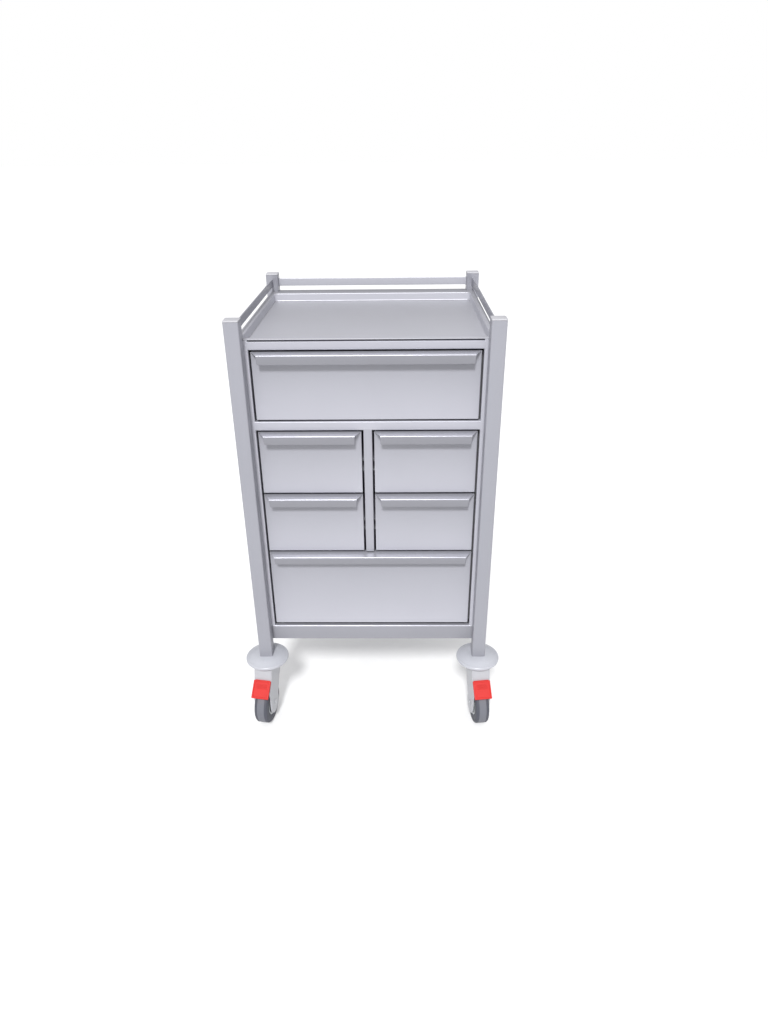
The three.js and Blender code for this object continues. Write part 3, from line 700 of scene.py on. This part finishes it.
def drawer_front(mesh, drawer):
    """A shallow pan, and over it a folded grip whose ends are cut at a slant."""
    lo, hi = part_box(f"drawer_front_{drawer}")
    tip = lo.y
    pan_top = hi.z - SHEET
    lip_top = hi.z - GRIP_DROP

    def ring(inset, y):
        radius = max(FRONT_CORNER - inset, 0.4 * MM)
        outline = rectangle(lo.x + inset, hi.x - inset, lo.z + inset, pan_top - inset, radius, 3)
        return [(x, y, z) for x, z in outline]

    bend = FRONT_BEND
    loops = [ring(SHEET + CREASE, FRONT + SHEET), ring(SHEET, FRONT + SHEET + CREASE)]
    loops += [ring(SHEET, hi.y), ring(0, hi.y)]
    loops += [ring(x, y) for x, y in arc((bend, FRONT + bend), bend, 180, 270, 5)]
    loft(mesh, loops, soft=False)
    extrude(mesh, rectangle(FRONT, hi.y, pan_top, hi.z, 0.2 * MM, 2), "X", lo.x, hi.x)

    outline = fillet([
        (FRONT, pan_top), (FRONT, hi.z), (tip, lip_top), (tip + GRIP_LEAN, lip_top - GRIP_LIP),
        (tip + GRIP_LEAN + SHEET, lip_top - GRIP_LIP), (tip + SHEET, lip_top - SHEET),
    ], [0, 0, BEND, 0.6 * MM, 0.6 * MM, CREASE])

    def inset(y, z):
        slant = (GRIP_TIP - GRIP_ROOT) * (FRONT - y) / GRIP_REACH
        return GRIP_ROOT + slant + GRIP_SHEAR * (hi.z - z)

    left = [(lo.x + inset(y, z), y, z) for y, z in outline]
    right = [(hi.x - inset(y, z), y, z) for y, z in outline]
    loft(mesh, [left, right])
    # the lip takes the painted-shade copy of the colour, the grip's top the painted-light copy
    for face in mesh.faces:
        middle = face.calc_center_median()
        if middle.y < tip + GRIP_LEAN and middle.z < lip_top - BEND:
            face.material_index = GRIP_LIP_PAINTED_SHADE_SLOT
        elif middle.y < FRONT and middle.z > lip_top - BEND:
            face.material_index = GRIP_TOP_PAINTED_LIGHT_SLOT


def drawer_box(mesh, drawer):
    """A folded tray with a hemmed rim, and a channel rail along each side."""
    lo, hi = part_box(f"drawer_box_{drawer}")
    x0, x1 = lo.x + SLIDE_REACH, hi.x - SLIDE_REACH
    cove = 3 * MM

    def ring(inset, z):
        radius = max(BOX_CORNER - inset, 1 * MM)
        edges = (x0 + inset, x1 - inset, lo.y + inset, hi.y - inset)
        return at_height(rectangle(*edges, radius, 4), z)

    hem = 2 * SHEET
    loops = [ring(x, z) for x, z in arc((BEND, lo.z + BEND), BEND, 270, 180, 4)]
    loops += [ring(x, z) for x, z in arc((SHEET, hi.z - SHEET), SHEET, 180, 0, 6)]
    loops += [ring(hem, hi.z - HEM), ring(SHEET, hi.z - HEM - 0.2 * MM)]
    centre = (SHEET + cove, lo.z + SHEET + cove)
    loops += [ring(x, z) for x, z in arc(centre, cove, 180, 270, 5)]
    loft(mesh, loops, soft=False)

    z = slide_height(drawer)
    half, reach = SLIDE_RAIL_HALF, SLIDE_REACH
    for wall, outward in ((x0, -1), (x1, 1)):
        rail = fillet([
            (0, -half), (reach, -half), (reach, SHEET - half), (SHEET, SHEET - half),
            (SHEET, half - SHEET), (reach, half - SHEET), (reach, half), (0, half),
        ], [RAW, RAW, RAW, CREASE, CREASE, RAW, RAW, RAW])
        extrude(mesh, [(wall + outward * a, z + b) for a, b in rail], "Y", *SLIDE_Y)


for drawer in DRAWERS:
    front = refine(f"drawer_front_{drawer}", lambda mesh: drawer_front(mesh, drawer), "front")
    front.data.materials.append(LOOKS["grip"][1])
    front.data.materials.append(LOOKS["painted_light_strip"][1])
    refine(f"drawer_box_{drawer}", lambda mesh: drawer_box(mesh, drawer), "inner")


# ---- casters: built facing -Y about the kingpin axis, then turned into place -----------------
TRAIL = 34 * MM  # from the kingpin to the axle
WHEEL_RADIUS = 50 * MM
WHEEL_HALF = 16 * MM
TREAD_HALF = 8.5 * MM  # half the flat running band
HUB = 30 * MM  # outer radius of the wheel centre
FORK_HALF = 21 * MM
CHEEK = 3.7 * MM
FORK_TOP = 152.3 * MM
GUARD = 26 * MM  # radius of the round end of a cheek
WHEEL_ARCH = 54 * MM
ARCH_FROM, ARCH_TO = 59.2, 138.9  # where the arch meets the front and rear edges of a cheek
TREAD_PAINTED_SHEEN_SLOT = 1  # material slot of the running band, after the tyre's own; the band's lighter colour is a painted sheen
PIVOT = (45.2 * MM, 119.9 * MM)  # of the pedal: ahead of the kingpin, and above the floor
PEDAL_SLOPE = math.radians(44.6)
PEDAL_TRAVEL = math.radians(9)  # from released to pressed
SEAT_SLOPE = PEDAL_SLOPE + PEDAL_TRAVEL
SEAT_LIFT = 1.5 * MM  # of the fork's slope over the pivot's axis
PEDAL_HALF = 20.5 * MM
PEDAL_LENGTH = 41 * MM
PEDAL_UNDER = 2.6 * MM  # from the pivot's axis to the underside of the plate
PEDAL_THICKNESS = 4.5 * MM
PEDAL_EDGE = 1.2 * MM  # rounding of the plate's upper edge
PEDAL_DISH = 1 * MM
BARREL, BARREL_HALF = 4 * MM, 17 * MM  # radius and half length of the pedal's barrel
RIDGES = (8 * MM, 12 * MM, 16 * MM)  # how far the foot ridges are down the plate
RIDGE_WIDTH = 1.8 * MM
RIDGE_MARGIN = 8 * MM  # from a ridge's end to the side of the plate


def caster_place(corner):
    """The turn and place of a caster, from its swivel axis and its wheel's axle."""
    pin = JOINTS[f"caster_{corner}_swivel"]["pos_m"]
    axle = JOINTS[f"wheel_{corner}_spin"]["axis"]
    turn = math.atan2(axle[1], axle[0])
    return Matrix.Translation((pin[0], pin[1], 0)) @ Matrix.Rotation(turn, 4, "Z")


def on_axle():
    """From the z axis to the wheel's axle, which runs along x."""
    return Matrix.Translation((0, -TRAIL, WHEEL_RADIUS)) @ Matrix.Rotation(math.pi / 2, 4, "Y")


def seat(s):
    """A point on the slope that the pedal lies on when it is pressed, s below its upper end."""
    u = PIVOT[0] + SEAT_LIFT * math.sin(SEAT_SLOPE) + s * math.cos(SEAT_SLOPE)
    z = PIVOT[1] + SEAT_LIFT * math.cos(SEAT_SLOPE) - s * math.sin(SEAT_SLOPE)
    return u, z


def fork(mesh):
    """Two cheeks that come down over the wheel to round guards, joined by a crown.

    The outlines are drawn with u forward from the kingpin, and forward is -Y.
    """
    axle = (TRAIL, WHEEL_RADIUS)
    top = [(-30 * MM, FORK_TOP), (38 * MM, FORK_TOP), (PIVOT[0] - 1 * MM, PIVOT[1] + 7.5 * MM)]
    top += [seat(0), seat(26 * MM)]
    back = [(-14 * MM, 100 * MM), (-30 * MM, 118 * MM)]
    top_radii = [7 * MM, 6 * MM, 3 * MM, 1 * MM, 4 * MM]
    back_radii = [12 * MM, 10 * MM]
    guard = arc(axle, GUARD, 12, -192, 40)
    arch = arc(axle, WHEEL_ARCH, ARCH_FROM, ARCH_TO, 24)
    cheek = fillet(top + guard + back, top_radii + [0] * len(guard) + back_radii)
    crown = fillet(top + arch + back, top_radii[:-1] + [0] * (len(arch) + 1) + back_radii)
    inner = FORK_HALF - CHEEK
    for side in (-1, 1):
        outline = [(-u, z) for u, z in cheek]
        extrude(mesh, outline, "X", side * inner, side * FORK_HALF)
    reach = inner + 0.2 * MM  # a little way into the cheeks
    extrude(mesh, [(-u, z) for u, z in crown], "X", -reach, reach, soft=False)


def wheel_hub(mesh):
    """A boss, a thin web and a rim, the same on both sides."""
    bore, boss, rim = 4.3 * MM, 12 * MM, HUB - 5 * MM
    web_half = 6 * MM
    step = 1 * MM
    side = [(bore, WHEEL_HALF), (boss, WHEEL_HALF), (boss + step, WHEEL_HALF - step)]
    side += [(boss + 2 * step, web_half), (rim - 2 * step, web_half), (rim, WHEEL_HALF - 2 * step)]
    side += [(rim + step, WHEEL_HALF - step), (HUB, WHEEL_HALF - step)]
    profile = side + [(radius, -x) for radius, x in reversed(side)]
    lathe(mesh, profile, on_axle(), 64, ring=True)


def tyre(mesh):
    """A solid tyre with rounded shoulders and a flat running band, marked by fine grooves."""
    bore, shoulder = HUB + FIT, 6.5 * MM
    groove = 0.5 * MM
    side = [(bore, WHEEL_HALF - 1 * MM), (bore + 5 * MM, WHEEL_HALF - 0.4 * MM)]
    side += [(x, y) for x, y in arc(
        (WHEEL_RADIUS - shoulder, WHEEL_HALF - shoulder), shoulder, 90, 12, 8)]
    side += [(WHEEL_RADIUS - 0.1 * MM, TREAD_HALF + FIT),
             (WHEEL_RADIUS - groove, TREAD_HALF), (WHEEL_RADIUS, TREAD_HALF - 0.5 * MM)]
    profile = side + [(radius, -x) for radius, x in reversed(side)]
    lathe(mesh, profile, on_axle(), 96, ring=True)
    for face in mesh.faces:
        middle = face.calc_center_median()
        reach = math.hypot(middle.y + TRAIL, middle.z - WHEEL_RADIUS)
        if abs(middle.x) < TREAD_HALF and reach > WHEEL_RADIUS - 3 * MM:
            face.material_index = TREAD_PAINTED_SHEEN_SLOT


def axle(mesh):
    """A bolt through the fork with a washer and a domed hexagon at each end."""
    leg = FORK_HALF + FIT
    bolt, washer, head, dome = 4 * MM, 7 * MM, 5.6 * MM, 4.6 * MM
    washer_profile = [(washer, 0), (washer, 0.8 * MM), (washer - 1.2 * MM, 0.9 * MM)]
    head_profile = [(head, 0.85 * MM), (head, 1.9 * MM), (dome, 2.4 * MM)]
    for outward in (-1, 1):
        for profile, sides in ((washer_profile, 40), (head_profile, 6)):
            lathe(mesh, [(radius, outward * (leg + x)) for radius, x in profile], on_axle(), sides)
    lathe(mesh, [(bolt, -leg), (bolt, leg)], on_axle(), 32)


def brake_pedal(mesh):
    """A sloping plate with a raised border and three foot ridges, on a barrel at its pivot."""
    down = Vector((0, -math.cos(PEDAL_SLOPE), -math.sin(PEDAL_SLOPE)))
    out = Vector((0, -math.sin(PEDAL_SLOPE), math.cos(PEDAL_SLOPE)))
    origin = Vector((0, -PIVOT[0], PIVOT[1]))
    across = Vector((1, 0, 0))

    def ring(inset, height, radius):
        outline = rectangle(-PEDAL_HALF + inset, PEDAL_HALF - inset,
                            -1.5 * MM + inset, PEDAL_LENGTH - inset, radius)
        return [origin + across * x + down * s + out * height for x, s in outline]

    top = PEDAL_UNDER + PEDAL_THICKNESS
    floor = top - PEDAL_DISH
    edge = (PEDAL_EDGE, top - PEDAL_EDGE)
    loops = [ring(0.6 * MM, PEDAL_UNDER, 1.6 * MM), ring(0, PEDAL_UNDER + 0.6 * MM, 2 * MM)]
    loops += [ring(x, h, 2 * MM) for x, h in arc(edge, PEDAL_EDGE, 180, 90, 4)]
    loops += [ring(3.4 * MM, top, 1.6 * MM), ring(4.2 * MM, floor, 1.4 * MM)]
    loft(mesh, loops, soft=False)
    ridge_half = PEDAL_HALF - RIDGE_MARGIN
    for s in RIDGES:
        ridge = []
        for inset, height in ((0, floor), (0, top), (0.4 * MM, top + 0.5 * MM)):
            outline = rectangle(-ridge_half + inset, ridge_half - inset,
                                s + inset, s + RIDGE_WIDTH - inset, 0.35 * MM, 3)
            ridge.append([origin + across * x + down * t + out * height for x, t in outline])
        loft(mesh, ridge, soft=False)
    barrel = Matrix.Translation(origin) @ Matrix.Rotation(math.pi / 2, 4, "Y")
    lathe(mesh, [(BARREL, -BARREL_HALF), (BARREL, BARREL_HALF)], barrel, 32)


for corner in CORNERS:
    place = caster_place(corner)
    refine(f"caster_fork_{corner}", fork, "caster", bevel=1.1 * MM, place=place)
    refine(f"wheel_hub_{corner}", wheel_hub, "hub", place=place)
    wheel = refine(f"tyre_{corner}", tyre, "tyre", place=place)
    wheel.data.materials.append(LOOKS["painted_sheen_tread"][1])
    refine(f"axle_{corner}", axle, "zinc", place=place)
    if corner.startswith("front"):
        refine(f"brake_pedal_{corner}", brake_pedal, "pedal", place=place)


# ---- floor, light and camera -----------------------------------------------------------------
FLOOR_HALF = 40  # metres, so that its edges are far out of view
FLOOR_GLOW = 0.26  # what the bare white around it adds to the floor's own brightness


def pale_floor():
    """A wide pale sheet under the wheels, bright enough to leave only soft shadows."""
    half = FLOOR_HALF
    data = bpy.data.meshes.new("floor")
    corners = [(-half, -half, 0), (half, -half, 0), (half, half, 0), (-half, half, 0)]
    data.from_pydata(corners, [], [(0, 1, 2, 3)])
    floor = bpy.data.objects.new("floor", data)
    bpy.context.scene.collection.objects.link(floor)
    paint = moulded("pale_floor", (0.70, 0.70, 0.70), 0.5, 0.2, 40)
    shader = paint.node_tree.nodes["Principled BSDF"]
    shader.inputs["Emission Color"].default_value = (1, 1, 1, 1)
    shader.inputs["Emission Strength"].default_value = FLOOR_GLOW
    data.materials.append(paint)


def far_light(name, source, strength, spread):
    """A wide soft light that reaches everything alike; source is a direction, spread an angle."""
    light = bpy.data.lights.new(name, "SUN")
    light.energy = strength
    light.angle = math.radians(spread)
    lamp = bpy.data.objects.new(name, light)
    bpy.context.scene.collection.objects.link(lamp)
    lamp.rotation_euler = Vector(source).to_track_quat("Z", "Y").to_euler()


def studio_world():
    """A white room that darkens a little towards the horizon; the camera sees plain white."""
    world = bpy.data.worlds.new("studio")
    world.use_nodes = True
    bpy.context.scene.world = world
    tree = world.node_tree
    background = tree.nodes["Background"]
    coordinates = tree.nodes.new("ShaderNodeTexCoord")
    split = tree.nodes.new("ShaderNodeSeparateXYZ")
    tree.links.new(coordinates.outputs["Generated"], split.inputs["Vector"])
    ramp = tree.nodes.new("ShaderNodeValToRGB")
    ramp.color_ramp.elements[0].position = 0.0
    ramp.color_ramp.elements[0].color = (0.16, 0.16, 0.165, 1)
    ramp.color_ramp.elements[1].position = 0.7
    ramp.color_ramp.elements[1].color = (0.85, 0.85, 0.86, 1)
    shoulder = ramp.color_ramp.elements.new(0.35)
    shoulder.color = (0.28, 0.28, 0.285, 1)
    tree.links.new(split.outputs["Z"], ramp.inputs["Fac"])
    path = tree.nodes.new("ShaderNodeLightPath")
    mix = tree.nodes.new("ShaderNodeMix")
    mix.data_type = "RGBA"
    ends = [socket for socket in mix.inputs if socket.type == "RGBA"]
    ends[1].default_value = (1, 1, 1, 1)
    tree.links.new(ramp.outputs["Color"], ends[0])
    tree.links.new(path.outputs["Is Camera Ray"], mix.inputs["Factor"])
    result = next(socket for socket in mix.outputs if socket.type == "RGBA")
    tree.links.new(result, background.inputs["Color"])
    background.inputs["Strength"].default_value = 1.0


def camera():
    """The photograph's viewpoint: a short lens, level with the guard rails and looking down."""
    at = Vector((0.0558, -1.6037, 1.2552))
    pitch, yaw, roll = (math.radians(angle) for angle in (27.715, 1.020, -0.646))
    forward = Vector((-math.sin(yaw) * math.cos(pitch), math.cos(yaw) * math.cos(pitch),
                      -math.sin(pitch)))
    level = Vector((math.cos(yaw), math.sin(yaw), 0))
    above = level.cross(forward)
    right = level * math.cos(roll) + above * math.sin(roll)
    up = above * math.cos(roll) - level * math.sin(roll)
    data = bpy.data.cameras.new("camera")
    data.sensor_width = 36
    data.lens = 25.15
    view = bpy.data.objects.new("camera", data)
    bpy.context.scene.collection.objects.link(view)
    turn = Matrix((right, up, -forward)).transposed().to_4x4()
    view.matrix_world = Matrix.Translation(at) @ turn
    bpy.context.scene.camera = view


pale_floor()
studio_world()
far_light("key", (-0.1, -1, 1.05), 3.0, 10)
camera()
bpy.context.scene.view_settings.view_transform = "Standard"
